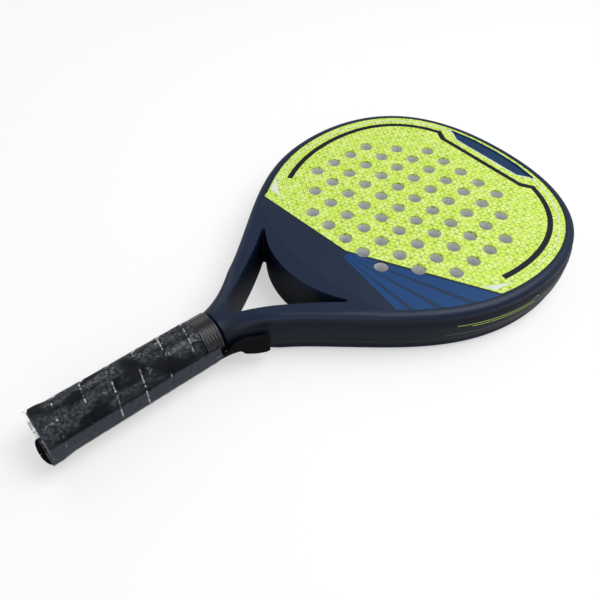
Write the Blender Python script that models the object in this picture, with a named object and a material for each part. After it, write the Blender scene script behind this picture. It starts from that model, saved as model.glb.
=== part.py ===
# Padel racket, lying on its back face. Metres, +Z up, head towards +X, butt towards -X.
import math

import bmesh
import bpy
from mathutils import Vector

# Overall sizes
racket_length = 0.461          # head tip to the end of the butt cap
head_width = 0.2584            # across the widest part of the head
racket_thickness = 0.038       # front face to back face

# Head
tip_to_grid = 0.1324           # head tip to the middle of the hole pattern
tip_arc = 0.1065               # reach of the tip's curve to each side
widest_place = 0.0173          # widest part, towards the tip from the middle of the hole pattern
hole_pitch = 0.020
hole_diameter = 0.0112
hole_rows = (5, 7, 9, 9, 9, 9, 7, 5)    # holes in each row, from the throat to the tip
hole_sides = 12

# Throat and arms, measured from the middle of the hole pattern
waist_place = -0.145           # where the arms' outer edges run at the waist angle
waist_half = 0.0456            # half width there
waist_angle = math.radians(39)
arm_end_place = -0.1962        # where the arms have become the shaft
arm_end_half = 0.0166          # half width there
arm_end_height = 0.0158        # half thickness there
round_start = -0.160           # from here towards the butt the arms turn from flat to round
opening_apex = -0.184          # the throat opening's end at the handle
opening_head = -0.1284         # its head side, on the middle line
opening_head_radius = 0.083
opening_corner = 0.050         # half width of the opening at its widest
bridge_width = 0.0245          # along the middle line, from the opening to the core
bridge_core_radius = 0.130     # of the core's edge along the bridge
bridge_core_half = 0.062       # half width of the bridge where it meets the core

# Frame section: inset and depth below the face, down to the middle band
frame_profile = ((0.0080, 0.0), (0.0035, 0.0013), (0.0016, 0.0040), (0.0022, 0.0070), (0.0, 0.0105))
frame_side = 0.0203            # width of the frame tube around the core
laminate_thickness = 0.0015
laminate_inset = 0.0090        # the laminates' edge, inside the frame's outer edge
laminate_end = 0.016           # from the opening's head side to the laminates' edge
laminate_radius = 0.200        # of the laminates' edge along the bridge

# Handle
shaft_radius = 0.0140
shaft_wall = 0.003
base_grip_thickness = 0.0020
overgrip_thickness = 0.0007
overgrip_wraps = 6
overgrip_swell = 0.0004        # how far each wrap stands out over its seam
seam_gap = 0.00034             # from a wrap's swell to the end of its turn
collar_gap = 0.0015            # from the arms' end to the collar
collar_length = 0.0145
collar_thickness = 0.0018
collar_ribs = 5
rib_height = 0.0005
tape_thickness = 0.0004
butt_flare_side = 0.0012       # how far the cap stands out past the base grip, to the sides
butt_flare_top = 0.0008        # and to the top and bottom
flare_length = 0.005           # the widest part of the cap ends this far from the butt
cap_length = 0.014
cap_wall = 0.003
cap_fillet = 0.0012
anchor_diameter = 0.005
anchor_offset = 0.0035         # its middle, from the axis away from the strap's side
anchor_sides = 12
slot_place = 0.0021            # the strap's slot, from the axis towards the strap's side

# Wrist strap and film
strap_width = 0.016
strap_thickness = 0.0016
strap_tongue = 0.0055          # how far its fold stands out past the butt cap
strap_lean = math.radians(30.2)    # its side of the handle, below level, on the -Y side
film_thickness = 0.0003
film_overhang = 0.002          # past the butt cap
film_end_place = -0.2035       # its end on the collar

clearance = 0.0003
overshoot = 0.010              # how far a cutter runs past what it cuts
round_sides = 28

# Places worked out from the sizes
tip_x = (racket_length + strap_tongue) / 2
grid_x = tip_x - tip_to_grid
butt_x = tip_x - racket_length
middle_z = racket_thickness / 2
collar_head_x = grid_x + arm_end_place - collar_gap - clearance
collar_butt_x = collar_head_x - collar_length
shaft_end_x = butt_x + cap_wall + anchor_diameter + 3 * clearance
base_grip_radius = shaft_radius + clearance + base_grip_thickness
overgrip_radius = base_grip_radius + clearance + overgrip_thickness
anchor_length = 2 * (shaft_radius - shaft_wall)    # it bears on the shaft's end
lean_side = Vector((0, -math.cos(strap_lean), -math.sin(strap_lean)))
bridge_core = opening_head + bridge_width
laminate_edge = opening_head + laminate_end


def clear_scene():
    for item in list(bpy.data.objects):
        bpy.data.objects.remove(item, do_unlink=True)


def make_material(name, colour, roughness, metallic=0.0):
    material = bpy.data.materials.new(name)
    material.use_nodes = True
    shader = material.node_tree.nodes["Principled BSDF"]
    shader.inputs["Base Color"].default_value = (*colour, 1)
    shader.inputs["Roughness"].default_value = roughness
    shader.inputs["Metallic"].default_value = metallic
    material.diffuse_color = (*colour, 1)
    return material


def finish(name, shape, material=None):
    bmesh.ops.remove_doubles(shape, verts=shape.verts, dist=1e-6)
    bmesh.ops.recalc_face_normals(shape, faces=shape.faces)
    mesh = bpy.data.meshes.new(name)
    shape.to_mesh(mesh)
    shape.free()
    mesh.shade_smooth()
    mesh.set_sharp_from_angle(angle=math.radians(35))
    item = bpy.data.objects.new(name, mesh)
    bpy.context.scene.collection.objects.link(item)
    if material:
        mesh.materials.append(material)
    else:
        item.hide_render = True
        item.display_type = "WIRE"
    return item


def boolean(item, cutter, operation="DIFFERENCE"):
    modifier = item.modifiers.new(cutter.name, "BOOLEAN")
    modifier.operation = operation
    modifier.solver = "EXACT"
    modifier.object = cutter


def bezier(start, near, far, end, steps):
    points = []
    for step in range(steps):
        t = step / steps
        weights = ((1 - t) ** 3, 3 * t * (1 - t) ** 2, 3 * t * t * (1 - t), t ** 3)
        corners = (start, near, far, end)
        points.append(tuple(sum(w * c[k] for w, c in zip(weights, corners)) for k in range(2)))
    return points


def half_outline(end_x):
    # The racket's outer edge on the +Y side, from the tip to the butt, about the hole pattern
    half = head_width / 2
    along = (math.cos(waist_angle), math.sin(waist_angle))
    waist = (waist_place, waist_half)
    before = (waist[0] + 0.0635 * along[0], waist[1] + 0.0635 * along[1])
    after = (waist[0] - 0.025 * along[0], waist[1] - 0.025 * along[1])
    points = bezier((tip_to_grid, 0), (tip_to_grid, tip_arc), (0.0656, half), (widest_place, half), 14)
    points += bezier((widest_place, half), (-0.057, half), before, waist, 13)
    points += bezier(waist, after, (-0.182, 0.0205), (arm_end_place, arm_end_half), 9)
    points.append((arm_end_place, arm_end_half))
    points.append((arm_end_place - 0.0015, shaft_radius))
    points.append((end_x - grid_x, shaft_radius))
    return points


def outline(end_x, inset=0.0):
    # The whole edge as an open chain, round the tip from butt to butt, moved inwards by the inset
    upper = half_outline(end_x)
    chain = [Vector((x, -y)) for x, y in reversed(upper[1:])] + [Vector(point) for point in upper]
    moved = []
    for index, point in enumerate(chain):
        ahead = chain[min(index + 1, len(chain) - 1)]
        behind = chain[max(index - 1, 0)]
        along = (ahead - behind).normalized()
        moved.append(point + Vector((-along.y, along.x)) * inset)
    return moved


def smooth_step(value, start, end):
    t = min(max((value - start) / (end - start), 0), 1)
    return t * t * (3 - 2 * t)


def racket_body(name, material, end_x):
    # A solid over the whole outline. Each level has an inset and a depth on the flat head,
    # and an angle on the round shaft, with a smooth change between the two.
    profile = frame_profile + tuple((i, racket_thickness - d) for i, d in reversed(frame_profile))
    angles = [math.radians(75 - 150 * level / (len(profile) - 1)) for level in range(len(profile))]
    chains = [outline(end_x, inset) for inset, depth in profile]
    edge = outline(end_x)
    shape = bmesh.new()
    rows = []
    for level, (chain, (inset, depth)) in enumerate(zip(chains, profile)):
        row = []
        for point, rim in zip(chain, edge):
            turn = smooth_step(rim.x, round_start, arm_end_place)
            in_shaft = rim.x < arm_end_place - 0.001
            half = shaft_radius if in_shaft else abs(rim.y)
            height = shaft_radius if in_shaft else arm_end_height
            round_y = math.copysign(half * math.cos(angles[level]), rim.y)
            round_z = height * math.sin(angles[level])
            flat_z = middle_z - depth
            y = point.y + (round_y - point.y) * turn
            z = flat_z + (round_z - flat_z) * turn
            x = point.x + (rim.x - point.x) * turn
            row.append(shape.verts.new((grid_x + x, y, middle_z + z)))
        rows.append(row)
    last = len(edge) - 1
    for upper, lower in zip(rows, rows[1:]):
        for index in range(last):
            shape.faces.new((upper[index], upper[index + 1], lower[index + 1], lower[index]))
    for row in (rows[0], rows[-1]):
        for index in range(last // 2 - 1):
            shape.faces.new((row[index], row[index + 1], row[last - index - 1], row[last - index]))
        middle = last // 2
        shape.faces.new((row[middle - 1], row[middle], row[middle + 1]))
    shape.faces.new([row[0] for row in rows] + [row[last] for row in reversed(rows)])
    return finish(name, shape, material)


def prism(name, points, bottom, top, material=None):
    shape = bmesh.new()
    low = [shape.verts.new((grid_x + x, y, bottom)) for x, y in points]
    high = [shape.verts.new((grid_x + x, y, top)) for x, y in points]
    shape.faces.new(low)
    shape.faces.new(high)
    for index in range(len(points)):
        after = (index + 1) % len(points)
        shape.faces.new((low[index], low[after], high[after], high[index]))
    return finish(name, shape, material)


def arc(apex, radius, half_width, steps):
    # An arc across the middle line, hollow towards the tip, from -Y to +Y
    reach = math.asin(min(half_width / radius, 1))
    points = []
    for step in range(steps + 1):
        angle = reach * (2 * step / steps - 1)
        points.append((apex + radius * (1 - math.cos(angle)), radius * math.sin(angle)))
    return points


def head_plate(inset, apex, radius, grow=0.0):
    # The head's outline at an inset, closed towards the handle by an arc between the two places
    # where the outline crosses it
    centre = apex + radius
    radius += grow

    def outside(point):
        return point.x < 0 and math.hypot(point.x - centre, point.y) > radius

    chain = outline(butt_x, inset)
    first = next(index for index, point in enumerate(chain) if not outside(point))
    crossing_out, crossing_in = chain[first - 1], chain[first]
    for halving in range(30):
        middle = (crossing_out + crossing_in) / 2
        if outside(middle):
            crossing_out = middle
        else:
            crossing_in = middle
    kept = [(point.x, point.y) for point in chain[first:len(chain) - first]]
    reach = math.asin(abs(crossing_in.y) / radius)
    steps = 16
    closing = []
    for step in range(steps + 1):
        angle = reach * (1 - 2 * step / steps)
        closing.append((centre - radius * math.cos(angle), radius * math.sin(angle)))
    return kept + closing


def opening_plan():
    # The throat opening: an arc at the head, and a curved side along each arm to the apex
    corner_x = arc(opening_head, opening_head_radius, opening_corner, 2)[0][0]
    corner = (corner_x, opening_corner)
    side = bezier(corner, (corner[0] - 0.010, corner[1] - 0.007),
                  (opening_apex + 0.030, 0.0205), (opening_apex + 0.006, 0.0080), 7)
    side += bezier((opening_apex + 0.006, 0.0080), (opening_apex + 0.001, 0.0050),
                   (opening_apex, 0.0025), (opening_apex, 0), 3)
    side.append((opening_apex, 0))
    head = arc(opening_head, opening_head_radius, opening_corner, 12)[1:-1]
    lower = [(x, -y) for x, y in reversed(side[:-1])]
    return side + lower + head


def bridge_plan(grow=0.0, reach=0.0):
    # The bridge between the opening and the core, its ends running from corner to corner.
    # The frame's cut for it reaches further into both spaces
    top = arc(bridge_core - clearance, bridge_core_radius, bridge_core_half + grow, 16)
    low = arc(opening_head, opening_head_radius, opening_corner + grow, 12)
    top = [(x + reach * max(1 - (y / bridge_core_half) ** 4, 0), y) for x, y in top]
    low = [(x - reach * max(1 - (y / opening_corner) ** 4, 0) - grow, y) for x, y in low]
    return low + list(reversed(top))


def sleeve(name, outer, inner, material, sides=round_sides):
    # A tube round the handle's axis. Each station is a place and the two half sizes, or a ring
    shape = bmesh.new()
    rows = []
    for place, half_y, half_z in list(outer) + list(reversed(inner)):
        row = []
        for step in range(sides):
            angle = math.tau * (step + 0.5) / sides
            row.append(shape.verts.new((place, half_y * math.cos(angle), middle_z + half_z * math.sin(angle))))
        rows.append(row)
    join_rows(shape, rows, sides)
    return finish(name, shape, material)


def join_rows(shape, rows, sides):
    for index, row in enumerate(rows):
        following = rows[(index + 1) % len(rows)]
        for step in range(sides):
            after = (step + 1) % sides
            shape.faces.new((row[step], row[after], following[after], following[step]))


def bar(name, start, end, radius, material, sides=round_sides):
    shape = bmesh.new()
    rows = []
    for place in (start, end):
        ring = []
        for step in range(sides):
            angle = math.tau * (step + 0.5) / sides
            ring.append(shape.verts.new((place, radius * math.cos(angle), middle_z + radius * math.sin(angle))))
        rows.append(ring)
    shape.faces.new(rows[0])
    shape.faces.new(rows[1])
    for step in range(sides):
        after = (step + 1) % sides
        shape.faces.new((rows[0][step], rows[0][after], rows[1][after], rows[1][step]))
    return finish(name, shape, material)


def make_hole_cutter():
    shape = bmesh.new()
    for row, count in enumerate(hole_rows):
        x = grid_x + (row - (len(hole_rows) - 1) / 2) * hole_pitch
        for column in range(count):
            y = (column - (count - 1) / 2) * hole_pitch
            made = bmesh.ops.create_cone(shape, cap_ends=True, segments=hole_sides, radius1=hole_diameter / 2,
                                         radius2=hole_diameter / 2, depth=racket_thickness + 2 * overshoot)
            bmesh.ops.translate(shape, verts=made["verts"], vec=(x, y, middle_z))
    return finish("hole_cutter", shape)


def strap_route():
    # Places along the strap, each with its distance from the handle's axis and, where it leaves
    # the handle along the arm, its turn up towards level, in degrees. Chosen by hand.
    lay = overgrip_radius + clearance + strap_thickness / 2
    swell = lay + butt_flare_side
    level = math.degrees(strap_lean)
    return ((butt_x + 0.007, slot_place, 0), (butt_x + 0.002, slot_place, 0), (butt_x - 0.0006, slot_place, 0),
            (butt_x - 0.0028, 0.0032, 0), (butt_x - 0.0042, 0.0062, 0), (butt_x - 0.0046, 0.0110, 0),
            (butt_x - 0.0040, 0.0158, 0), (butt_x - 0.0020, swell - 0.0002, 0),
            (butt_x + 0.003, swell, 0), (butt_x + 0.012, lay + 0.0004, 0), (butt_x + 0.030, lay, 0),
            (butt_x + 0.070, lay, 0), (collar_butt_x, lay, 0), (collar_head_x - 0.004, lay + 0.0002, 0),
            (collar_head_x + 0.002, lay + 0.0010, 12), (collar_head_x + 0.007, lay + 0.0032, 26),
            (collar_head_x + 0.013, lay + 0.0068, level), (collar_head_x + 0.0265, lay + 0.0146, level))


def make_strap(material):
    route = strap_route()
    centres = []
    sides = []
    for place, distance, turn in route:
        lean = strap_lean - math.radians(turn)
        side = Vector((0, -math.cos(lean), -math.sin(lean)))
        centres.append(Vector((place, 0, middle_z)) + side * distance)
        sides.append(side)
    shape = bmesh.new()
    rows = []
    for index, centre in enumerate(centres):
        ahead = centres[min(index + 1, len(centres) - 1)]
        behind = centres[max(index - 1, 0)]
        along = (ahead - behind).normalized()
        across = along.cross(sides[index]).normalized()
        up = across.cross(along).normalized()
        corners = ((-1, -1), (1, -1), (1, 1), (-1, 1))
        row = []
        for a, u in corners:
            place = centre + across * (a * strap_width / 2) + up * (u * strap_thickness / 2)
            row.append(shape.verts.new(place))
        rows.append(row)
    for row, following in zip(rows, rows[1:]):
        for step in range(4):
            after = (step + 1) % 4
            shape.faces.new((row[step], row[after], following[after], following[step]))
    shape.faces.new(rows[0])
    shape.faces.new(rows[-1])
    return finish("wrist_strap", shape, material)


def film_ring(half_y, half_z, strap_centre, gap, sides):
    # The film's section: stretched round the handle and the strap, read at even angles
    points = []
    for step in range(72):
        angle = math.tau * step / 72
        points.append(((half_y + gap) * math.cos(angle), (half_z + gap) * math.sin(angle)))
    reach = strap_centre + strap_thickness / 2 + gap
    edge = strap_width / 2 + gap
    angles = [math.tau * (step + 0.5) / sides for step in range(sides)]
    for along in (-edge, edge):
        corner = (lean_side.y * reach - lean_side.z * along, lean_side.z * reach + lean_side.y * along)
        points.append(corner)
        corner_angle = math.atan2(corner[1], corner[0]) % math.tau
        nearest = min(range(sides), key=lambda step: abs(angles[step] - corner_angle))
        angles[nearest] = corner_angle
    return [hull_reach(points, angle) for angle in angles]


def hull_reach(points, angle):
    # How far the points' convex hull reaches at an angle: the least, over nearby directions,
    # of its support in a direction over the cosine between the two
    best = math.inf
    for step in range(-80, 81):
        away = math.radians(step * 0.9)
        direction = (math.cos(angle + away), math.sin(angle + away))
        support = max(y * direction[0] + z * direction[1] for y, z in points)
        best = min(best, support / math.cos(away))
    return (best * math.cos(angle), best * math.sin(angle))


def make_film(material):
    lay = overgrip_radius + clearance + strap_thickness / 2
    flare_y = overgrip_radius + butt_flare_side
    flare_z = overgrip_radius + butt_flare_top
    collar = shaft_radius + tape_thickness + 2 * clearance + collar_thickness + rib_height
    stations = ((butt_x - film_overhang, flare_y, flare_z, lay + butt_flare_side + 0.0004),
                (butt_x + 0.004, flare_y, flare_z, lay + butt_flare_side),
                (butt_x + 0.014, overgrip_radius, overgrip_radius, lay + 0.0004),
                (butt_x + 0.030, overgrip_radius, overgrip_radius, lay),
                (collar_butt_x - 0.002, overgrip_radius, overgrip_radius, lay),
                (collar_butt_x + 0.003, collar, collar, lay),
                (grid_x + film_end_place, collar, collar, lay))
    shape = bmesh.new()
    rows = []
    for gap, order in ((clearance + film_thickness, stations), (clearance, stations[::-1])):
        for place, half_y, half_z, strap_centre in order:
            ring = film_ring(half_y, half_z, strap_centre, gap, round_sides)
            rows.append([shape.verts.new((place, y, middle_z + z)) for y, z in ring])
    join_rows(shape, rows, round_sides)
    return finish("shrink_film", shape, material)


def make_head(navy, foam, face_paint):
    holes = make_hole_cutter()
    top = racket_thickness
    core_plan = head_plate(frame_side, bridge_core, bridge_core_radius)
    core_bottom = laminate_thickness + clearance
    core = prism("foam_core", core_plan, core_bottom, top - core_bottom, foam)
    boolean(core, holes)
    face_plan = head_plate(laminate_inset, laminate_edge, laminate_radius)
    for name, low in (("face_front", top - laminate_thickness), ("face_back", 0)):
        face = prism(name, face_plan, low, low + laminate_thickness, face_paint)
        boolean(face, holes)
    grown = head_plate(frame_side - clearance, bridge_core, bridge_core_radius, clearance)
    core_pocket = prism("core_pocket", grown, -overshoot, top + overshoot)
    grown = head_plate(laminate_inset - clearance, laminate_edge, laminate_radius, clearance)
    front_rebate = prism("front_rebate", grown, top - core_bottom, top + overshoot)
    back_rebate = prism("back_rebate", grown, -overshoot, core_bottom)
    opening = prism("opening_cutter", opening_plan(), -overshoot, top + overshoot)
    frame = racket_body("frame", navy, shaft_end_x)
    bridge = racket_body("throat_bridge", navy, shaft_end_x)
    bridge_space = prism("bridge_space", bridge_plan(clearance, 0.002), -overshoot, top + overshoot)
    bridge_shape = prism("bridge_shape", bridge_plan(), -overshoot, top + overshoot)
    for cutter in (core_pocket, opening, bridge_space, front_rebate, back_rebate):
        boolean(frame, cutter)
    bore = bar("shaft_bore", shaft_end_x - overshoot, collar_butt_x, shaft_radius - shaft_wall, None)
    boolean(frame, bore)
    boolean(bridge, bridge_shape, "INTERSECT")
    for cutter in (front_rebate, back_rebate):
        boolean(bridge, cutter)


def make_handle(foam, grip_under, grip_black, tape_black, rubber_black):
    bore_radius = shaft_radius - shaft_wall
    bar("handle_core", shaft_end_x, collar_butt_x - clearance, bore_radius - clearance, foam)
    grip_start = butt_x + cap_length + clearance
    grip_end = collar_butt_x - clearance
    under = shaft_radius + clearance
    sleeve("base_grip", ((grip_start, base_grip_radius, base_grip_radius),
                         (grip_end, base_grip_radius, base_grip_radius)),
           ((grip_start, under, under), (grip_end, under, under)), grip_under)
    over = base_grip_radius + clearance
    wrap = (grip_end - grip_start) / overgrip_wraps
    outer = [(butt_x + cap_fillet, over + butt_flare_side + overgrip_thickness,
              over + butt_flare_top + overgrip_thickness),
             (butt_x + flare_length, over + butt_flare_side + overgrip_thickness,
              over + butt_flare_top + overgrip_thickness)]
    for index in range(overgrip_wraps):
        for share, swell in ((0.04, 0), (0.30, overgrip_swell), (0.75, overgrip_swell), (1 - seam_gap / wrap, 0)):
            radius = overgrip_radius - overgrip_swell + swell
            outer.append((grip_start + (index + share) * wrap, radius, radius))
    inner = ((butt_x + cap_fillet, over + butt_flare_side, over + butt_flare_top),
             (butt_x + flare_length, over + butt_flare_side, over + butt_flare_top),
             (butt_x + cap_length, over, over), (outer[-1][0], over, over))
    sleeve("overgrip", outer, inner, grip_black)
    tape = under + tape_thickness
    sleeve("finishing_tape", ((collar_butt_x, tape, tape), (collar_head_x, tape, tape)),
           ((collar_butt_x, under, under), (collar_head_x, under, under)), tape_black)
    collar_inner = tape + clearance
    collar_outer = collar_inner + collar_thickness
    pitch = collar_length / collar_ribs
    ribs = []
    for index in range(collar_ribs):
        for share, height in ((0.02, 0), (0.25, rib_height), (0.70, rib_height), (0.95, 0)):
            ribs.append((collar_butt_x + (index + share) * pitch, collar_outer + height, collar_outer + height))
    sleeve("grip_collar", ribs, ((ribs[0][0], collar_inner, collar_inner),
                                 (ribs[-1][0], collar_inner, collar_inner)), rubber_black)


def make_cap(material):
    # A cup over the shaft's end, with a slot for the strap
    cap_y = base_grip_radius + butt_flare_side
    cap_z = base_grip_radius + butt_flare_top
    bore = shaft_radius + clearance
    stations = ((butt_x, cap_y - cap_fillet, cap_z - cap_fillet), (butt_x + cap_fillet, cap_y, cap_z),
                (butt_x + flare_length, cap_y, cap_z), (butt_x + cap_length, base_grip_radius, base_grip_radius),
                (butt_x + cap_length, bore, bore), (butt_x + cap_wall, bore, bore))
    shape = bmesh.new()
    rows = []
    for place, half_y, half_z in stations:
        row = []
        for step in range(round_sides):
            angle = math.tau * (step + 0.5) / round_sides
            row.append(shape.verts.new((place, half_y * math.cos(angle), middle_z + half_z * math.sin(angle))))
        rows.append(row)
    for row, following in zip(rows, rows[1:]):
        for step in range(round_sides):
            after = (step + 1) % round_sides
            shape.faces.new((row[step], row[after], following[after], following[step]))
    shape.faces.new(rows[0])
    shape.faces.new(rows[-1])
    cap = finish("butt_cap", shape, material)
    slot_shape = bmesh.new()
    bmesh.ops.create_cube(slot_shape, size=1)
    across = Vector((0, -lean_side.z, lean_side.y))
    for vertex in slot_shape.verts:
        x, a, u = vertex.co * 2
        place = Vector((butt_x + cap_wall / 2 + x * cap_wall, 0, middle_z)) + lean_side * slot_place
        place += across * (a * (strap_width / 2 + clearance))
        place += lean_side * (u * (strap_thickness / 2 + clearance))
        vertex.co = place
    boolean(cap, finish("slot_cutter", slot_shape))


def make_anchor(material):
    # A bar behind the slot that holds the strap's sewn end
    shape = bmesh.new()
    across = Vector((0, -lean_side.z, lean_side.y))
    centre = Vector((butt_x + cap_wall + clearance + anchor_diameter / 2, 0, middle_z))
    centre -= lean_side * anchor_offset
    rows = []
    for end in (-0.5, 0.5):
        ring = []
        for step in range(anchor_sides):
            angle = math.tau * step / anchor_sides
            away = Vector((math.cos(angle), 0, 0)) + lean_side * math.sin(angle)
            ring.append(shape.verts.new(centre + across * (end * anchor_length) + away * anchor_diameter / 2))
        rows.append(ring)
    shape.faces.new(rows[0])
    shape.faces.new(rows[1])
    for step in range(anchor_sides):
        after = (step + 1) % anchor_sides
        shape.faces.new((rows[0][step], rows[0][after], rows[1][after], rows[1][step]))
    return finish("strap_anchor", shape, material)


def build():
    clear_scene()
    navy = make_material("navy_paint", (0.013, 0.023, 0.052), 0.45)
    lime = make_material("lime_print", (0.68, 0.91, 0.15), 0.4)
    foam = make_material("grey_foam", (0.42, 0.43, 0.46), 0.85)
    grip_under = make_material("grip_under", (0.02, 0.02, 0.022), 0.8)
    grip_black = make_material("grip_black", (0.010, 0.011, 0.014), 0.55)
    tape_black = make_material("tape_black", (0.008, 0.008, 0.009), 0.5)
    rubber_black = make_material("rubber_black", (0.011, 0.012, 0.014), 0.5)
    cap_black = make_material("cap_black", (0.008, 0.008, 0.010), 0.5)
    webbing = make_material("black_webbing", (0.006, 0.006, 0.008), 0.85)
    film = make_material("clear_film", (0.30, 0.31, 0.33), 0.12)
    make_head(navy, foam, lime)
    make_handle(foam, grip_under, grip_black, tape_black, rubber_black)
    make_cap(cap_black)
    make_anchor(cap_black)
    make_strap(webbing)
    make_film(film)


build()
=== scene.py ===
import bpy
import bmesh
import math
from mathutils import Vector, Matrix


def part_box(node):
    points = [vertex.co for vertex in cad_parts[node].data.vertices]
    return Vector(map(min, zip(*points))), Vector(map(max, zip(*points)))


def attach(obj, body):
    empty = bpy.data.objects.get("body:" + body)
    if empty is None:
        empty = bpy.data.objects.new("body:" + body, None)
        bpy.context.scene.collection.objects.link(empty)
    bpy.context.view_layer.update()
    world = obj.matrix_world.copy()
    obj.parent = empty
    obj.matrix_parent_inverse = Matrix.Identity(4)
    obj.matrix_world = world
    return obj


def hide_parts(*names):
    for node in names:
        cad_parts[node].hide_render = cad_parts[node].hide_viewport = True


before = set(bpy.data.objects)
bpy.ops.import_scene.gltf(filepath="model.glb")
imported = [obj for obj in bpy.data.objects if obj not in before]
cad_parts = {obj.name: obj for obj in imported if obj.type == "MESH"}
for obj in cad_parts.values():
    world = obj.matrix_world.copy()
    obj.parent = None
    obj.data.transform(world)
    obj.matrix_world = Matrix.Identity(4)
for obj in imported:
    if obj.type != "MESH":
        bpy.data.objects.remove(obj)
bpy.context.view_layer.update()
print("frame loaded")

racket = {"tipToGrid": 0.1324, "halfWidth": 0.1292, "thickness": 0.038, "tipArc": 0.1065, "widest": 0.0173,
          "waist": (-0.145, 0.0456), "waistAngle": 39, "armEnd": (-0.1962, 0.0166), "armEndHeight": 0.0158,
          "roundStart": -0.160, "shaftRadius": 0.0140,
          "profile": ((0.0080, 0.0), (0.0055, 0.0004), (0.0035, 0.0014), (0.0020, 0.0030), (0.0017, 0.0048),
                      (0.0023, 0.0068), (0.0016, 0.0088), (0.0004, 0.0108), (0.0, 0.0145))}
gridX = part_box("frame")[1][0] - racket["tipToGrid"]      # middle of the hole pattern
top = racket["thickness"]
middle = top / 2
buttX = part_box("butt_cap")[0][0]
collarButt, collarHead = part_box("grip_collar")[0][0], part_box("grip_collar")[1][0]
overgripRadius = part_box("base_grip")[1][1] + 0.0003 + 0.0007
wrapStart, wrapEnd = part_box("overgrip")[0][0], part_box("overgrip")[1][0]
wrapStep = (wrapEnd - wrapStart) / 6
holes = {"rows": (5, 7, 9, 9, 9, 9, 7, 5), "pitch": 0.020, "radius": 0.0056, "sides": 40}


class Value:
    # a socket with maths on it: each operator adds its Math node
    def __init__(self, paint, socket):
        self.paint, self.socket = paint, socket

    def math(self, operation, other=0.5, third=0.5):
        return self.paint.node("ShaderNodeMath", {"operation": operation}, {0: self, 1: other, 2: third})

    def __add__(self, other): return self.math("ADD", other)
    def __radd__(self, other): return self.math("ADD", other)
    def __sub__(self, other): return self.math("SUBTRACT", other)
    def __rsub__(self, other): return self.paint.node("ShaderNodeMath", {"operation": "SUBTRACT"}, {0: other, 1: self})
    def __mul__(self, other): return self.math("MULTIPLY", other)
    def __rmul__(self, other): return self.math("MULTIPLY", other)
    def __truediv__(self, other): return self.math("DIVIDE", other)
    def __gt__(self, other): return self.math("GREATER_THAN", other)
    def __lt__(self, other): return self.math("LESS_THAN", other)
    def wave(self): return self.math("SINE")
    def size(self): return self.math("ABSOLUTE")
    def atLeast(self, other): return self.math("MAXIMUM", other)
    def atMost(self, other): return self.math("MINIMUM", other)
    def power(self, other): return self.math("POWER", other)
    def wrap(self, step): return self.math("WRAP", step, 0.0)

    def ramp(self, low, high):
        return self.paint.node("ShaderNodeMapRange", {"interpolation_type": "SMOOTHSTEP"},
                               {"Value": self, "From Min": low, "From Max": high})


class Paint:
    # one material: nodes are added through node(), the shader's own sockets through fixed values
    def __init__(self, name, colour, roughness, metallic=0.0, **fixed):
        self.material = bpy.data.materials.new(name)
        self.material.use_nodes = True
        self.nodes, self.links = self.material.node_tree.nodes, self.material.node_tree.links
        self.shader = self.nodes["Principled BSDF"]
        self.set("Base Color", (*colour, 1))
        self.set("Roughness", roughness)
        self.set("Metallic", metallic)
        for socket, value in fixed.items():
            self.set(socket.replace("_", " "), value)
        place = self.nodes.new("ShaderNodeTexCoord").outputs["Object"]
        self.place = place
        self.x, self.y, self.z = (Value(self, s) for s in self.raw("ShaderNodeSeparateXYZ", {}, {0: place}).outputs)

    def set(self, socket, value):
        target = self.shader.inputs[socket]
        if isinstance(value, Value):
            self.links.new(value.socket, target)
        else:
            target.default_value = value

    def raw(self, kind, settings, sockets):
        node = self.nodes.new(kind)
        for key, value in settings.items():
            setattr(node, key, value)
        for key, value in sockets.items():
            if isinstance(value, Value):
                self.links.new(value.socket, node.inputs[key])
            elif isinstance(value, bpy.types.NodeSocket):
                self.links.new(value, node.inputs[key])
            else:
                node.inputs[key].default_value = value
        return node

    def node(self, kind, settings, sockets, out=0):
        return Value(self, self.raw(kind, settings, sockets).outputs[out])

    def noise(self, scale, detail=3, stretch=(1, 1, 1)):
        place = self.node("ShaderNodeMapping", {}, {"Vector": self.place, "Scale": stretch})
        return self.node("ShaderNodeTexNoise", {}, {"Vector": place, "Scale": scale, "Detail": detail}, out=0)

    def mix(self, factor, first, second):
        node = self.nodes.new("ShaderNodeMix")
        node.data_type = "RGBA"
        for key, value in ((0, factor), (6, first), (7, second)):
            if isinstance(value, Value):
                self.links.new(value.socket, node.inputs[key])
            else:
                node.inputs[key].default_value = value if key == 0 else (*value, 1)
        return Value(self, node.outputs[2])

    def bump(self, height, distance, strength=1.0):
        self.set("Normal", self.node("ShaderNodeBump", {}, {"Height": height, "Distance": distance,
                                                            "Strength": strength}))


# navyPaintedShade is a shaded copy of the navy, painted on the frame's side walls
colours = {"navy": (0.0055, 0.017, 0.047), "navyPaintedShade": (0.0025, 0.0068, 0.017), "ink": (0.004, 0.006, 0.014),
           "lime": (0.66, 0.90, 0.115), "limeLight": (0.78, 0.97, 0.25), "limeLine": (0.10, 0.17, 0.010),
           "blue": (0.002, 0.052, 0.190), "blueDeep": (0.006, 0.030, 0.085),
           "white": (0.80, 0.86, 0.76), "foam": (0.94, 0.945, 0.96),
           "black": (0.008, 0.009, 0.012), "grey": (0.16, 0.19, 0.22)}


def makeNavy():
    paint = Paint("satinNavyLacquer", colours["navy"], 0.42, Coat_Weight=0.05, Specular_IOR_Level=0.28)
    mottle = paint.noise(60)
    # painted shade: the side walls are painted a darker navy than the faces, because less light falls on them
    wallShade = (paint.z - middle).size().ramp(0.0105, 0.0188)      # the walls are darker than the faces
    paint.set("Base Color", paint.mix(wallShade, colours["navyPaintedShade"], colours["navy"]))
    paint.set("Roughness", 0.38 + 0.10 * mottle)
    paint.bump(paint.noise(1400, 2), 0.00004, 0.5)
    return paint.material


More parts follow.
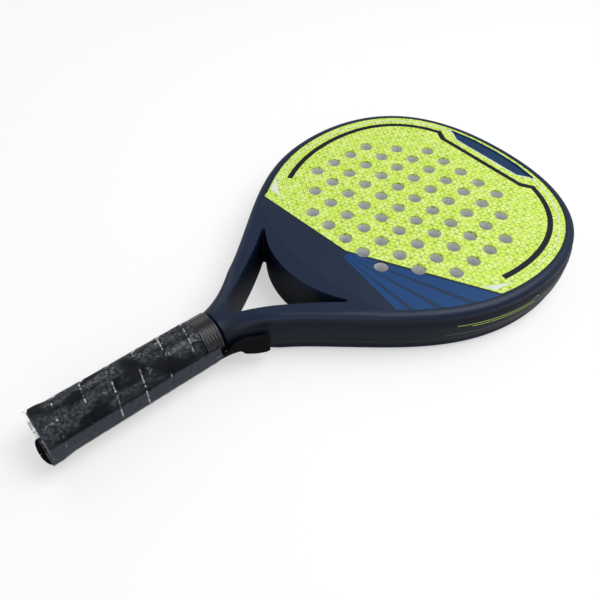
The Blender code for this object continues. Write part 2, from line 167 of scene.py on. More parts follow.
def makeFoam(name="cutFoam", colour=colours["foam"]):
    paint = Paint(name, colour, 0.85)
    cells = paint.node("ShaderNodeTexVoronoi", {}, {"Vector": paint.place, "Scale": 900})
    paint.set("Base Color", paint.mix(cells, tuple(0.8 * c for c in colour), colour))
    paint.bump(cells, 0.0002, 0.7)
    return paint.material


def makePlain(name, colour, roughness, grain=900, depth=0.00005, **fixed):
    paint = Paint(name, colour, roughness, **fixed)
    speck = paint.noise(grain)
    paint.set("Base Color", paint.mix(speck, tuple(0.75 * c for c in colour), tuple(1.2 * c for c in colour)))
    paint.set("Roughness", roughness - 0.06 + 0.12 * speck)
    paint.bump(speck, depth, 0.8)
    return paint.material


def below(paint, start, end):
    # 1 on the handle side of a line drawn across the face, from +Y to -Y
    (x0, y0), (x1, y1) = start, end
    slope = (x1 - x0) / (y1 - y0)
    return (paint.x - (gridX + x0) - (paint.y - y0) * slope) < 0


rays = {"focus": (-0.0850, -0.0060), "from": -0.10, "count": 5.2}


cubes = {"edge": 0.0046, "line": 0.022}


def makeFace():
    # the printed laminate: lime with a fine pattern of leaning cubes, navy towards the handle
    paint = Paint("printedFace", colours["lime"], 0.38, Coat_Weight=0.05, Specular_IOR_Level=0.35)
    i = (paint.x - paint.y / math.sqrt(3)) / cubes["edge"]     # places on a grid of triangles
    j = paint.y * (2 / math.sqrt(3) / cubes["edge"])
    lines = None
    for place, sign, other in ((j, -1, i), (i, 1, -1 * j), (i + j, 1, j)):
        nearest = place.math("ROUND")
        line = 1 - (place - nearest).size().ramp(cubes["line"], cubes["line"] + 0.05)
        along = (nearest * sign + other).wrap(3.0)
        mark = line * (1 - (along > 1) * (along < 2))          # each third edge is left out
        lines = mark if lines is None else lines.atLeast(mark)
    patches = paint.noise(190, 1).ramp(0.42, 0.62)
    lime = paint.mix(patches, colours["lime"], colours["limeLight"])
    strength = 0.5 + 0.45 * paint.noise(120, 1).ramp(0.35, 0.6)
    lime = paint.mix(lines * strength, lime, colours["limeLine"])
    upper = below(paint, (-0.090, 0.083), (-0.081, -0.010))
    lower = below(paint, (-0.081, -0.010), (-0.023, -0.113))
    navyZone = upper.atLeast(0).math("MINIMUM", paint.y > -0.010).atLeast(lower.math("MINIMUM", paint.y < -0.010))
    edgeUpper = below(paint, (-0.0885, 0.083), (-0.0795, -0.010)).math("MINIMUM", paint.y > -0.010)
    edgeLower = below(paint, (-0.0797, -0.010), (-0.0215, -0.113)).math("MINIMUM", paint.y < -0.010)
    fan = (paint.x - (gridX + rays["focus"][0])) / (rays["focus"][1] - paint.y).atLeast(0.001)
    inFan = (fan > rays["from"]) * (paint.y < rays["focus"][1] - 0.008)
    stripes = (fan * rays["count"] + 0.06 * paint.noise(18, 1)).wrap(1.0) > 0.24
    navy = paint.mix(inFan * stripes, paint.mix(inFan, colours["navy"], colours["blueDeep"]), colours["blue"])
    paint.set("Base Color", paint.mix(navyZone, paint.mix(edgeUpper.atLeast(edgeLower), lime, colours["ink"]), navy))
    paint.set("Roughness", 0.38 + 0.10 * paint.noise(60))
    paint.bump(paint.noise(1400, 2), 0.00003, 0.4)
    return paint.material


def wrapTurn(paint):
    # how far round the spiral wrap a point lies, 0 just past each seam
    turn = (paint.z - middle).math("ARCTAN2", paint.y) / math.tau
    return ((paint.x - wrapStart) / wrapStep + turn).wrap(1.0)


def makeGrip():
    paint = Paint("wrapTape", colours["black"], 0.6, Specular_IOR_Level=0.12)
    creases = paint.noise(80, 4, (0.6, 1, 1))
    # painted shade: a near-black line along each wrap seam, where the overlap's step is shaded
    seam = 1 - wrapTurn(paint).ramp(0.0, 0.05)
    # darker where the crease noise is low, the same noise that sets the bump
    creaseTone = paint.mix(creases.ramp(0.42, 0.7), (0.0035, 0.0045, 0.0065), (0.009, 0.011, 0.014))
    paint.set("Base Color", paint.mix(seam, creaseTone, (0.0005, 0.0005, 0.0005)))
    paint.set("Roughness", 0.5 + 0.2 * creases)
    paint.bump(creases + 0.25 * paint.noise(900, 2), 0.0004, 0.5)
    return paint.material


def makeFilm():
    # clear shrink film: a glossy skin with painted reflections: a grey painted floor reflection where it bridges the
    # strap, painted sky reflection patches on top, and pale painted glints and sheen
    paint = Paint("clearShrinkFilm", (0.20, 0.22, 0.25), 0.10, Specular_IOR_Level=0.5)
    folds = paint.noise(60, 4, (1.0, 1.8, 1.8))
    grain = paint.noise(520, 3)
    turn = wrapTurn(paint)
    # painted highlights: pale glints streaked along the wrap seams
    nearSeam = turn.ramp(0.89, 0.93) * (1 - turn.ramp(0.94, 0.98))
    seamGlints = nearSeam * paint.noise(90, 2, (0.3, 1, 1)).ramp(0.40, 0.62) * grain.ramp(0.32, 0.62)
    # painted sheen: pale patches over the film on the grip
    sheenPatches = paint.noise(70, 3, (1.3, 0.8, 0.8)).ramp(0.60, 0.74) * grain.ramp(0.40, 0.60)
    up = paint.z - middle
    onGrip = 1 - (paint.x - collarButt).ramp(-0.001, 0.001)
    # painted floor reflection: a grey band along the flat where the film bridges the strap, on the lower near side
    reach = paint.y * 0.865 + up * 0.503 + (folds - 0.5) * 0.003
    band = 1 - (reach + 0.0122).ramp(-0.0010, 0.0006)
    # painted sky reflection: patches on the film's upper side
    skyReflection = up.ramp(0.003, 0.013) * paint.noise(48, 3, (1, 1.6, 1.6)).ramp(0.42, 0.56)
    skyReflection = skyReflection * onGrip * (0.25 + 1.3 * grain.ramp(0.38, 0.62))
    # the painted glints, sheen and reflections set both the film's opacity and its pale or grey colour
    glints = (seamGlints * 0.75 + sheenPatches * onGrip * 0.32).atMost(0.8)
    paint.set("Alpha", (0.03 + 0.72 * band + 0.42 * skyReflection + glints).atMost(0.9))
    grey = paint.mix(band, (0.085, 0.098, 0.118), (0.052, 0.062, 0.080))
    paint.set("Base Color", paint.mix(glints.ramp(0.08, 0.5), grey, (0.50, 0.54, 0.58)))
    paint.bump(folds, 0.0006, 0.35)
    return paint.material


def makeWebbing():
    paint = Paint("wovenWebbing", (0.004, 0.004, 0.005), 0.85, Specular_IOR_Level=0.15)
    ribs = (paint.x * (math.tau / 0.0013)).wave() * (paint.z * (math.tau / 0.0011)).wave()
    paint.set("Base Color", paint.mix(ribs.ramp(-0.5, 1), (0.0015, 0.0015, 0.002), (0.006, 0.006, 0.008)))
    paint.bump(ribs, 0.0003, 0.6)
    return paint.material


materials = {"navy": makeNavy(), "foam": makeFoam(), "face": makeFace(), "grip": makeGrip(), "film": makeFilm(),
             "webbing": makeWebbing(),
             "rubber": makePlain("ribbedRubber", (0.006, 0.007, 0.009), 0.22, Coat_Weight=0.7, Coat_Roughness=0.08),
             "cap": makePlain("mouldedCap", (0.010, 0.010, 0.012), 0.5),
             "tape": makePlain("vinylTape", (0.008, 0.008, 0.009), 0.45),
             "under": makePlain("baseGrip", (0.02, 0.02, 0.022), 0.8),
             "ink": makePlain("inkLine", colours["ink"], 0.45, 60, 0.00001, Specular_IOR_Level=0.25),
             "white": makePlain("whiteLine", colours["white"], 0.34, 60, 0.00001, Coat_Weight=0.4),
             "blueDeep": makePlain("deepBlueRay", (0.003, 0.040, 0.115), 0.4, 60, 0.00001, Specular_IOR_Level=0.3),
             "limeInk": makePlain("limeLine", colours["lime"], 0.34, 60, 0.00001, Coat_Weight=0.4),
             "greyInk": makePlain("greyLine", colours["grey"], 0.34, 60, 0.00001, Coat_Weight=0.4)}
print("materials made")


def addPiece(name, shape, material, nodes=(), smooth=40, weighted=False):
    bmesh.ops.remove_doubles(shape, verts=shape.verts, dist=1e-7)
    mesh = bpy.data.meshes.new(name)
    shape.to_mesh(mesh)
    shape.free()
    mesh.shade_smooth()
    mesh.set_sharp_from_angle(angle=math.radians(smooth))
    mesh.materials.append(material)
    piece = bpy.data.objects.new(name, mesh)
    bpy.context.scene.collection.objects.link(piece)
    if weighted:
        modifier = piece.modifiers.new("evenShading", "WEIGHTED_NORMAL")
        modifier.keep_sharp = True
    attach(piece, "root")
    if nodes:
        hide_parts(*nodes)
    return piece


def cutShape(shape, cutter):
    # takes the cutter's shape away from the shape, and gives back a new bmesh
    made = []
    for part in (shape, cutter):
        mesh = bpy.data.meshes.new("cutting")
        bmesh.ops.recalc_face_normals(part, faces=part.faces)
        part.to_mesh(mesh)
        part.free()
        item = bpy.data.objects.new("cutting", mesh)
        bpy.context.scene.collection.objects.link(item)
        made.append(item)
    modifier = made[0].modifiers.new("cut", "BOOLEAN")
    modifier.operation, modifier.solver, modifier.object = "DIFFERENCE", "EXACT", made[1]
    bpy.context.view_layer.update()
    result = bmesh.new()
    result.from_object(made[0], bpy.context.evaluated_depsgraph_get())
    for item in made:
        mesh = item.data
        bpy.data.objects.remove(item, do_unlink=True)
        bpy.data.meshes.remove(mesh)
    return result


def bezier(start, near, far, end, steps):
    points = []
    for step in range(steps):
        t = step / steps
        weights = ((1 - t) ** 3, 3 * t * (1 - t) ** 2, 3 * t * t * (1 - t), t ** 3)
        points.append(Vector([sum(w * p[k] for w, p in zip(weights, (start, near, far, end))) for k in (0, 1)]))
    return points


def outline(inset=0.0, fine=3):
    # the racket's edge as an open chain from butt to butt round the tip, about the hole pattern
    half, tip, waist = racket["halfWidth"], racket["tipToGrid"], racket["waist"]
    a = math.radians(racket["waistAngle"])
    before = (waist[0] + 0.0635 * math.cos(a), waist[1] + 0.0635 * math.sin(a))
    after = (waist[0] - 0.025 * math.cos(a), waist[1] - 0.025 * math.sin(a))
    widest, end = racket["widest"], racket["armEnd"]
    upper = bezier((tip, 0), (tip, racket["tipArc"]), (0.0656, half), (widest, half), 14 * fine)
    upper += bezier((widest, half), (-0.057, half), before, waist, 13 * fine)
    upper += bezier(waist, after, (-0.182, 0.0205), end, 9 * fine)
    upper += [Vector(end), Vector((end[0] - 0.0012, racket["shaftRadius"])),
              Vector((collarButt - gridX, racket["shaftRadius"]))]
    chain = [Vector((p.x, -p.y)) for p in reversed(upper[1:])] + upper
    moved = []
    for index, point in enumerate(chain):
        ahead, behind = chain[min(index + 1, len(chain) - 1)], chain[max(index - 1, 0)]
        along = (ahead - behind).normalized()
        moved.append(point + Vector((-along.y, along.x)) * inset)
    return moved


def racketBody():
    # a loft of the edge's section, flat on the head and round at the shaft
    profile = racket["profile"] + tuple((i, top - d) for i, d in reversed(racket["profile"]))
    edge = outline()
    shape = bmesh.new()
    rows = []
    for level, (inset, depth) in enumerate(profile):
        angle = math.radians(78 - 156 * level / (len(profile) - 1))
        row = []
        for point, rim in zip(outline(inset), edge):
            t = min(max((rim.x - racket["roundStart"]) / (racket["armEnd"][0] - racket["roundStart"]), 0), 1)
            turn = t * t * (3 - 2 * t)
            inShaft = rim.x < racket["armEnd"][0] - 0.001
            half = racket["shaftRadius"] if inShaft else abs(rim.y)
            height = racket["shaftRadius"] if inShaft else racket["armEndHeight"]
            y = point.y + (math.copysign(half * math.cos(angle), rim.y) - point.y) * turn
            z = middle - depth + (height * math.sin(angle) - middle + depth) * turn
            row.append(shape.verts.new((gridX + point.x + (rim.x - point.x) * turn, y, middle + z)))
        rows.append(row)
    last = len(edge) - 1
    for upper, lower in zip(rows, rows[1:]):
        for i in range(last):
            shape.faces.new((upper[i], upper[i + 1], lower[i + 1], lower[i]))
    for row in (rows[0], rows[-1]):
        for i in range(last // 2 - 1):
            shape.faces.new((row[i], row[i + 1], row[last - i - 1], row[last - i]))
        shape.faces.new((row[last // 2 - 1], row[last // 2], row[last // 2 + 1]))
    shape.faces.new([row[0] for row in rows] + [row[last] for row in reversed(rows)])
    bmesh.ops.recalc_face_normals(shape, faces=shape.faces)
    return shape


def slab(points, low, high):
    # an outline drawn about the hole pattern, made solid between two heights
    shape = bmesh.new()
    face = shape.faces.new([shape.verts.new((gridX + x, y, low)) for x, y in points])
    made = bmesh.ops.extrude_face_region(shape, geom=[face])
    raised = [item for item in made["geom"] if isinstance(item, bmesh.types.BMVert)]
    bmesh.ops.translate(shape, verts=raised, vec=(0, 0, high - low))
    bmesh.ops.recalc_face_normals(shape, faces=shape.faces)
    return shape


def arc(apex, radius, half, steps):
    reach = math.asin(half / radius)
    angles = [reach * (2 * step / steps - 1) for step in range(steps + 1)]
    return [Vector((apex + radius * (1 - math.cos(a)), radius * math.sin(a))) for a in angles]


def headPlan(inset, apex, radius):
    # the edge at an inset, closed towards the handle by an arc
    centre = apex + radius
    chain = outline(inset)
    outside = [p.x < 0 and math.hypot(p.x - centre, p.y) > radius for p in chain]
    first = outside.index(False)
    near, far = chain[first], chain[first - 1]
    for halving in range(30):
        between = (near + far) / 2
        if math.hypot(between.x - centre, between.y) > radius:
            far = between
        else:
            near = between
    closing = arc(apex, radius, abs(near.y), 40)
    return chain[first:len(chain) - first] + list(reversed(closing))


throat = {"apex": -0.184, "head": -0.1284, "radius": 0.083, "corner": 0.050, "round": 0.0050, "segments": 7}


def openingPlan():
    corner = arc(throat["head"], throat["radius"], throat["corner"] - 0.003, 2)[2]
    tip = Vector((corner.x + 0.0005, throat["corner"]))
    apex = throat["apex"]
    side = bezier(corner, corner + Vector((0.0012, 0.0012)), tip + Vector((0, 0.0006)),
                  tip - Vector((0.003, 0.0004)), 4)
    side += bezier(side[-1] - Vector((0.002, 0.0012)), (tip.x - 0.012, tip.y - 0.009), (apex + 0.030, 0.0205),
                   (apex + 0.006, 0.0080), 20)
    side += bezier((apex + 0.006, 0.0080), (apex + 0.001, 0.0050), (apex, 0.0025), (apex, 0), 6)
    side.append(Vector((apex, 0)))
    head = arc(throat["head"], throat["radius"], throat["corner"] - 0.003, 30)[1:-1]
    return side + [Vector((p.x, -p.y)) for p in reversed(side[:-1])] + head


def inOpening(point):
    return (throat["apex"] - 0.002 < point.x - gridX < -0.108 and abs(point.y) < throat["corner"] + 0.001
            and abs(point.y) < 0.0115 + (point.x - gridX - throat["apex"]) * 0.66)


def makeFrame():
    shape = cutShape(racketBody(), slab(openingPlan(), -0.01, top + 0.01))
    bmesh.ops.dissolve_limit(shape, angle_limit=math.radians(0.3), verts=shape.verts, edges=shape.edges)
    rims = [e for e in shape.edges if len(e.link_faces) == 2 and all(inOpening(v.co) for v in e.verts)
            and e.calc_face_angle(0) > math.radians(50)
            and abs(e.verts[0].co.z - e.verts[1].co.z) < 0.004 and any(abs(f.normal.z) < 0.2 for f in e.link_faces)]
    bmesh.ops.bevel(shape, geom=rims, offset=throat["round"], offset_type="OFFSET", affect="EDGES",
                    segments=throat["segments"], profile=0.5, material=-1, clamp_overlap=True)
    plate = headPlan(0.009, -0.1124, 0.200)
    shape = cutShape(shape, slab(headPlan(0.0203, -0.1039, 0.130), -0.01, top + 0.01))
    shape = cutShape(shape, slab(plate, top - 0.0015, top + 0.01))
    shape = cutShape(shape, slab(plate, -0.01, 0.0015))
    return addPiece("frameAndBridge", shape, materials["navy"], ("frame", "throat_bridge"), 38, True)


def holeCutters():
    shape = bmesh.new()
    for row, count in enumerate(holes["rows"]):
        for column in range(count):
            made = bmesh.ops.create_cone(shape, cap_ends=True, segments=holes["sides"], radius1=holes["radius"],
                                         radius2=holes["radius"], depth=0.06)
            bmesh.ops.translate(shape, verts=made["verts"], vec=(gridX + (row - 3.5) * holes["pitch"],
                                (column - (count - 1) / 2) * holes["pitch"], middle))
    return shape


def makeHead():
    plate = headPlan(0.009, -0.1124, 0.200)
    for name, node, low in (("faceFront", "face_front", top - 0.0015), ("faceBack", "face_back", 0)):
        shape = cutShape(slab(plate, low, low + 0.0015), holeCutters())
        addPiece(name, shape, materials["face"], (node,), 30, True)
    shape = cutShape(slab(headPlan(0.0206, -0.1036, 0.130), 0.0016, top - 0.0016), holeCutters())
    addPiece("foamCore", shape, materials["foam"], ("foam_core",), 30, True)


ring = {"outer": 0.0196, "inner": 0.0242, "lift": 0.00002}


def decal(name, outlines, material):
    # thin prints on both faces, each a flat outline just off the lacquer
    shape = bmesh.new()
    for points in outlines:
        for height, turn in ((top + ring["lift"], 1), (-ring["lift"], -1)):
            face = shape.faces.new([shape.verts.new((gridX + p[0], p[1], height)) for p in points[::turn]])
            face.normal_update()
            if face.normal.z * turn < 0:
                face.normal_flip()
    bmesh.ops.triangulate(shape, faces=shape.faces)
    return addPiece(name, shape, material, ())


def band(startX, startSide, endX, endSide, width, taper=False):
    # quads between two insets of the edge; a place is named by its x and its side of the middle line
    outer, inner = outline(width[0]), outline(width[1])
    centre = outline((width[0] + width[1]) / 2)
    low = min((i for i, p in enumerate(outer) if p.y * startSide > 0), key=lambda i: abs(outer[i].x - startX))
    high = min((i for i, p in enumerate(outer) if p.y * endSide > 0), key=lambda i: abs(outer[i].x - endX))
    low, high = min(low, high), max(low, high)
    quads = []
    for i in range(low, high):
        share = [(k - low) / (high - low) for k in (i, i + 1)]
        wide = [max(math.sin(math.pi * s), 0.0) ** 0.5 if taper else 1.0 for s in share]
        quads.append([centre[i].lerp(outer[i], wide[0]), centre[i + 1].lerp(outer[i + 1], wide[1]),
                      centre[i + 1].lerp(inner[i + 1], wide[1]), centre[i].lerp(inner[i], wide[0])])
    return quads


def makePrints():
    width = (ring["outer"], ring["inner"])
    left, right = band(-0.056, 1, 0.1035, 1, width), band(-0.007, -1, 0.1035, -1, width)
    dark = left + right
    for side, outer, inner in ((1, left[0][0], left[0][3]), (-1, right[-1][1], right[-1][2])):
        dark.append([outer, outer + Vector((0.0014, -side * 0.0012)), (0.0990, side * 0.0435),
                     (0.0945, side * 0.0435), (0.0945, side * 0.0460), inner])
    dark.append([(0.0945, 0.0436), (0.0990, 0.0436), (0.0990, -0.0436), (0.0945, -0.0436)])
    dark += band(-0.083, 1, -0.022, -1, (0.0090, 0.0098))
    decal("ringLine", dark, materials["ink"])
    decal("whiteLine", band(-0.072, 1, -0.004, -1, (0.0139, 0.0151), True), materials["white"])
    decal("whiteFins", [[(-0.0775, 0.0715), (-0.0790, 0.0850), (-0.0640, 0.0955), (-0.0720, 0.0850)],
                        [(-0.0270, -0.1015), (-0.0215, -0.1095), (-0.0040, -0.1140), (-0.0150, -0.1075)]],
          materials["white"])
    decal("lensPanel", [[(0.1145, 0.0490), (0.1190, 0.0260), (0.1205, 0.0), (0.1190, -0.0260), (0.1145, -0.0470),
                         (0.1060, -0.0340), (0.1060, 0.0350)]], materials["blueDeep"])
    decal("lensEdge", [[(0.1048, 0.0345), (0.1060, 0.0350), (0.1060, -0.0340), (0.1048, -0.0335)],
                       [(0.1145, 0.0490), (0.1060, 0.0350), (0.1048, 0.0345), (0.1135, 0.0505)],
                       [(0.1145, -0.0470), (0.1060, -0.0340), (0.1048, -0.0335), (0.1135, -0.0485)]],
          materials["white"])


def wallLine(name, route, material, thick=0.0006):
    # a thin printed line along the near side wall, through places given as x and height
    shape = bmesh.new()
    edge = [p for p in outline(-0.00003, 8) if p.y < 0 and route[0][0] <= p.x <= route[-1][0]]
    last = None
    for point in edge:
        before = max((k for k in range(len(route) - 1) if route[k][0] <= point.x))
        (x0, z0), (x1, z1) = route[before], route[before + 1]
        height = z0 + (z1 - z0) * (point.x - x0) / (x1 - x0)
        tall = thick / 2 * math.hypot(1, (z1 - z0) / (x1 - x0))
        pair = [shape.verts.new((gridX + point.x, point.y, height + s * tall)) for s in (-1, 1)]
        if last:
            shape.faces.new((last[0], pair[0], pair[1], last[1]))
        last = pair
    return addPiece(name, shape, material, ())


def ringLoft(stations, sides, radiusAt):
    # rings round the handle's axis; radiusAt gives y and z half sizes at a place and an angle
    shape = bmesh.new()
    rows = []
    for place in stations:
        row = []
        for step in range(sides):
            angle = math.tau * step / sides
            y, z = radiusAt(place, angle)
            row.append(shape.verts.new((place, y * math.cos(angle), middle + z * math.sin(angle))))
        rows.append(row)
    for row, following in zip(rows, rows[1:]):
        for step in range(sides):
            after = (step + 1) % sides
            shape.faces.new((row[step], row[after], following[after], following[step]))
    return shape, rows


def spinAboutHandle(points, sides=96):
    # a profile of (x, radius) turned about the handle's axis
    shape = bmesh.new()
    verts = [shape.verts.new((x, 0, middle + r)) for x, r in points]
    edges = [shape.edges.new(pair) for pair in zip(verts, verts[1:])]
    bmesh.ops.spin(shape, geom=verts + edges, cent=(0, 0, middle), axis=(1, 0, 0), angle=math.tau, steps=sides,
                   use_merge=True)
    bmesh.ops.remove_doubles(shape, verts=shape.verts, dist=1e-6)
    bmesh.ops.recalc_face_normals(shape, faces=shape.faces)
    return shape


grip = {"sides": 96, "rings": 240, "lap": 0.0008, "flareSide": 0.0012, "flareTop": 0.0008}


def makeOvergrip():
    start, end, step = wrapStart, wrapEnd, wrapStep

    def radiusAt(place, angle):
        turn = ((place - start) / step + angle / math.tau) % 1.0
        lap = grip["lap"] * (min(turn / 0.10, 1) if turn < 0.5 else 1 - max(turn - 0.93, 0) / 0.07)
        t = min(max((place - start - 0.0035) / 0.009, 0), 1)
        flare = 1 - t * t * (3 - 2 * t)
        base = overgripRadius - grip["lap"] + lap
        edge = 0.0006 * max(1 - (place - start) / 0.0008, 0) + 0.0004 * max(1 - (end - place) / 0.0008, 0)
        return base + grip["flareSide"] * flare - edge, base + grip["flareTop"] * flare - edge

    stations = [start + (end - start) * i / grip["rings"] for i in range(grip["rings"] + 1)]
    shape, rows = ringLoft(stations, grip["sides"], radiusAt)
    inner = []
    for row, place in ((rows[0], start), (rows[-1], end)):
        ringInner = [shape.verts.new((place, 0.93 * v.co.y, middle + 0.93 * (v.co.z - middle))) for v in row]
        for k in range(grip["sides"]):
            after = (k + 1) % grip["sides"]
            shape.faces.new((row[k], row[after], ringInner[after], ringInner[k]))
        inner.append(ringInner)
    for k in range(grip["sides"]):
        after = (k + 1) % grip["sides"]
        shape.faces.new((inner[0][k], inner[0][after], inner[1][after], inner[1][k]))
    bmesh.ops.recalc_face_normals(shape, faces=shape.faces)
    addPiece("overgripWrap", shape, materials["grip"], ("overgrip",), 60)


def makeCollar():
    inner = 0.0150
    points = [(collarButt, inner)]
    ribs, pitch = 6, (collarHead - collarButt) / 6
    for index in range(ribs):
        for step in range(8):
            share = (step + 0.5) / 8
            points.append((collarButt + (index + share) * pitch, 0.0163 + 0.0008 * math.sin(math.pi * share) ** 0.7))
    points += [(collarHead, inner), (collarButt, inner)]
    addPiece("ribbedCollar", spinAboutHandle(points), materials["rubber"], ("grip_collar",), 50)


strap = {"lean": 30.2, "width": 0.016, "thick": 0.0016}
leanSide = Vector((0, -math.cos(math.radians(strap["lean"])), -math.sin(math.radians(strap["lean"]))))


def strapRoute():
    # the CAD strap's own points: place, distance from the axis, turn up towards level, thickness
    lay = overgripRadius + 0.0003 + strap["thick"] / 2
    swell = lay + 0.0012
    return ((buttX + 0.007, 0.0021, 0, 1), (buttX + 0.002, 0.0021, 0, 1), (buttX - 0.0006, 0.0021, 0, 1),
            (buttX - 0.0022, 0.0030, 0, 2.2), (buttX - 0.0026, 0.0062, 0, 3.0), (buttX - 0.0028, 0.0110, 0, 3.2),
            (buttX - 0.0024, 0.0158, 0, 2.6), (buttX - 0.0012, swell - 0.0006, 0, 1.4), (buttX + 0.003, swell, 0, 1),
            (buttX + 0.012, lay + 0.0004, 0, 1), (buttX + 0.030, lay, 0, 1), (buttX + 0.070, lay, 0, 1),
            (collarButt, lay, 0, 1), (collarHead - 0.004, lay + 0.0002, 0, 1), (collarHead + 0.002, lay + 0.0010, 12, 1.2),
            (collarHead + 0.007, lay + 0.0036, 26, 2.2), (collarHead + 0.013, lay + 0.0068, strap["lean"], 3.0),
            (collarHead + 0.020, lay + 0.0108, strap["lean"], 3.2), (collarHead + 0.0245, lay + 0.0132, strap["lean"], 2.8),
            (collarHead + 0.0268, lay + 0.0140, strap["lean"], 1.4))


def makeStrap():
    route = [Vector(p) for p in strapRoute()]
    fine = []
    for i in range(len(route) - 1):
        p0, p1, p2, p3 = (route[min(max(i + k, 0), len(route) - 1)] for k in (-1, 0, 1, 2))
        for s in range(5):
            t = s / 5
            fine.append(0.5 * (2 * p1 + (p2 - p0) * t + (2 * p0 - 5 * p1 + 4 * p2 - p3) * t * t
                               + (3 * p1 - p0 - 3 * p2 + p3) * t ** 3))
    fine.append(route[-1])
    centres, sides = [], []
    for place, distance, turn, swell in fine:
        lean = math.radians(strap["lean"] - turn)
        side = Vector((0, -math.cos(lean), -math.sin(lean)))
        centres.append(Vector((place, 0, middle)) + side * distance)
        sides.append(side)
    shape = bmesh.new()
    rows = []
    corners = []
    for step in range(20):
        a = math.tau * (step + 0.5) / 20
        corners.append((math.copysign(abs(math.cos(a)) ** 0.12, math.cos(a)),
                        math.copysign(abs(math.sin(a)) ** 0.6, math.sin(a))))
    for i, centre in enumerate(centres):
        along = (centres[min(i + 1, len(centres) - 1)] - centres[max(i - 1, 0)]).normalized()
        across = along.cross(sides[i]).normalized()
        up = across.cross(along).normalized()
        thick = strap["thick"] * fine[i][3] / 2
        rows.append([shape.verts.new(centre + across * (u * strap["width"] / 2) + up * (v * thick))
                     for u, v in corners])
    for row, following in zip(rows, rows[1:]):
        for step in range(20):
            after = (step + 1) % 20
            shape.faces.new((row[step], row[after], following[after], following[step]))
    shape.faces.new(rows[0])
    shape.faces.new(rows[-1])
    bmesh.ops.recalc_face_normals(shape, faces=shape.faces)
    addPiece("wristStrap", shape, materials["webbing"], ("wrist_strap",), 50)


film = {"rings": 90, "sides": 120, "gap": 0.0004, "wrinkle": 0.00012}


def makeFilmSkin():
    start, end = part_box("shrink_film")[0][0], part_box("shrink_film")[1][0]
    lay = overgripRadius + 0.0003 + strap["thick"]
    across = Vector((0, -leanSide.z, leanSide.y))

    def reachAt(place, angle):
        # the least, over directions, of the wrapped shape's support over the cosine between
        t = min(max((place - buttX - 0.004) / 0.010, 0), 1)
        flare = 1 - t * t * (3 - 2 * t)
        t = min(max((place - collarButt + 0.002) / 0.005, 0), 1)
        slim = 0.0002 * t
        y = overgripRadius + grip["flareSide"] * flare - slim + film["gap"]
        z = overgripRadius + grip["flareTop"] * flare - slim + film["gap"]
        reach = lay + 0.0012 * flare + film["gap"]
        corner = [leanSide * reach + across * (s * (strap["width"] / 2 + film["gap"])) for s in (-1, 1)]
        best = 1.0
        for k in range(-16, 17):
            away = k * math.radians(3.0)
            direction = Vector((0, math.cos(angle + away), math.sin(angle + away)))
            support = max(math.hypot(y * direction.y, z * direction.z), corner[0].dot(direction),
                          corner[1].dot(direction))
            best = min(best, support / math.cos(away))
        crease = film["wrinkle"] * math.sin(9 * angle + 260 * place) * math.sin(700 * place + 3 * angle)
        return best + crease, best + crease

    stations = [start + (end - start) * i / film["rings"] for i in range(film["rings"] + 1)]
    shape, rows = ringLoft(stations, film["sides"], reachAt)
    bmesh.ops.recalc_face_normals(shape, faces=shape.faces)
    addPiece("shrinkFilm", shape, materials["film"], ("shrink_film",), 60)


def makeCap():
    y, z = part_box("butt_cap")[1][1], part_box("butt_cap")[1][2] - middle
    points = ((0.014, 0.0143), (0.014, 0.0163), (0.005, 0.0171), (0.0014, 0.0171), (0.0006, 0.0168), (0.0, 0.0160),
              (0.0, 0.0125), (0.0006, 0.0120), (0.0006, 0.0))
    shape = spinAboutHandle([(buttX + x, r) for x, r in points], 72)
    bmesh.ops.scale(shape, verts=shape.verts, vec=(1, y / 0.0171, z / 0.0171), space=Matrix.Translation((0, 0, -middle)))
    addPiece("buttCap", shape, materials["cap"], ("butt_cap",), 40)


def paintHiddenNodes():
    for node, material in (("handle_core", "foam"), ("base_grip", "under"), ("finishing_tape", "tape"),
                           ("strap_anchor", "cap")):
        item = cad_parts[node]
        item.data.materials.clear()
        item.data.materials.append(materials[material])


makeFrame()
print("frame made")
makeHead()
print("head made")
makePrints()
wallLine("limeWallLine", ((-0.060, 0.0255), (0.004, 0.0240), (0.0095, 0.0282), (0.0130, 0.0232)),
         materials["limeInk"])
wallLine("limeWallLineLow", ((-0.050, 0.0230), (0.006, 0.0212), (0.010, 0.0232)), materials["limeInk"])
wallLine("greyWallLine", ((0.0095, 0.0232), (0.050, 0.0250), (0.105, 0.0262)), materials["greyInk"], 0.0005)
wallLine("greyWallLineLow", ((0.0095, 0.0200), (0.050, 0.0215), (0.105, 0.0225)), materials["greyInk"], 0.0005)
wallLine("greyWallLineMiddle", ((-0.066, 0.0165), (0.000, 0.0152), (0.012, 0.0190), (0.090, 0.0200)),
         materials["greyInk"], 0.0004)
print("prints made")
makeOvergrip()
makeCollar()
makeStrap()
makeCap()
makeFilmSkin()
paintHiddenNodes()
print("handle made")

stage = {"lens": 35.874, "place": (-0.32678, -0.24025, 0.35935), "azimuth": 48.69, "down": 48.61, "roll": 1.97,
         "key": 9.0, "fill": 2.4, "world": 0.36, "floor": 0.50}


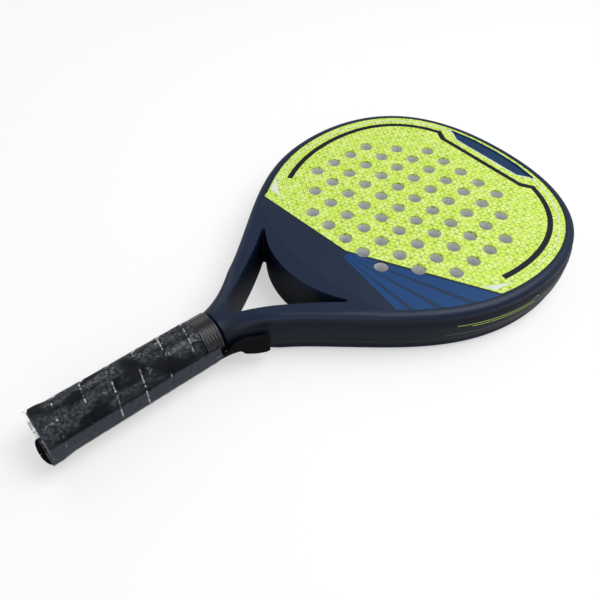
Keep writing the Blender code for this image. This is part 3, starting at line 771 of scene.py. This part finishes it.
def makeStage():
    camera = bpy.data.objects.new("camera", bpy.data.cameras.new("camera"))
    bpy.context.scene.collection.objects.link(camera)
    camera.data.lens, camera.data.sensor_width, camera.data.clip_start = stage["lens"], 36, 0.01
    a, d = math.radians(stage["azimuth"]), math.radians(stage["down"])
    ahead = Vector((math.cos(d) * math.cos(a), math.cos(d) * math.sin(a), -math.sin(d)))
    turn = ahead.to_track_quat("-Z", "Y").to_matrix().to_4x4() @ Matrix.Rotation(math.radians(stage["roll"]), 4, "Z")
    x, y, z = stage["place"]
    camera.matrix_world = Matrix.Translation((gridX + x, y, z)) @ turn
    bpy.context.scene.camera = camera
    for name, place, size, power in (("keyLight", (0.5, -0.3, 1.1), 0.9, stage["key"]),
                                     ("fillLight", (-0.8, -0.9, 0.7), 0.8, stage["fill"]),
                                     ("backLight", (-0.2, 1.1, 0.8), 0.8, stage["fill"])):
        light = bpy.data.lights.new(name, "AREA")
        light.energy, light.size = power, size
        item = bpy.data.objects.new(name, light)
        bpy.context.scene.collection.objects.link(item)
        item.matrix_world = Matrix.Translation(place) @ (-Vector(place)).to_track_quat("-Z", "Y").to_matrix().to_4x4()
    world = bpy.data.worlds.new("studio")
    bpy.context.scene.world = world
    world.use_nodes = True
    nodes, links = world.node_tree.nodes, world.node_tree.links
    path = nodes.new("ShaderNodeLightPath")
    strength = nodes.new("ShaderNodeMix")
    strength.inputs[2].default_value, strength.inputs[3].default_value = stage["world"], 1.0
    links.new(path.outputs["Is Camera Ray"], strength.inputs[0])
    links.new(strength.outputs[0], nodes["Background"].inputs["Strength"])
    nodes["Background"].inputs["Color"].default_value = (1, 1, 1, 1)
    shape = bmesh.new()
    bmesh.ops.create_grid(shape, x_segments=1, y_segments=1, size=6)
    bmesh.ops.translate(shape, verts=shape.verts, vec=(0, 0, -0.0004))
    mesh = bpy.data.meshes.new("floor")
    shape.to_mesh(mesh)
    shape.free()
    floor = bpy.data.objects.new("floor", mesh)
    bpy.context.scene.collection.objects.link(floor)
    paint = Paint("paleFloor", (0.55, 0.55, 0.55), 0.9)
    paint.set("Emission Strength", 1.0)
    seen = paint.node("ShaderNodeLightPath", {}, {})       # only the camera sees the floor's own white
    paint.set("Emission Color", paint.mix(seen, (0, 0, 0), (stage["floor"],) * 3))
    mesh.materials.append(paint.material)
    bpy.context.scene.view_settings.view_transform = "Standard"


makeStage()
print("stage made")
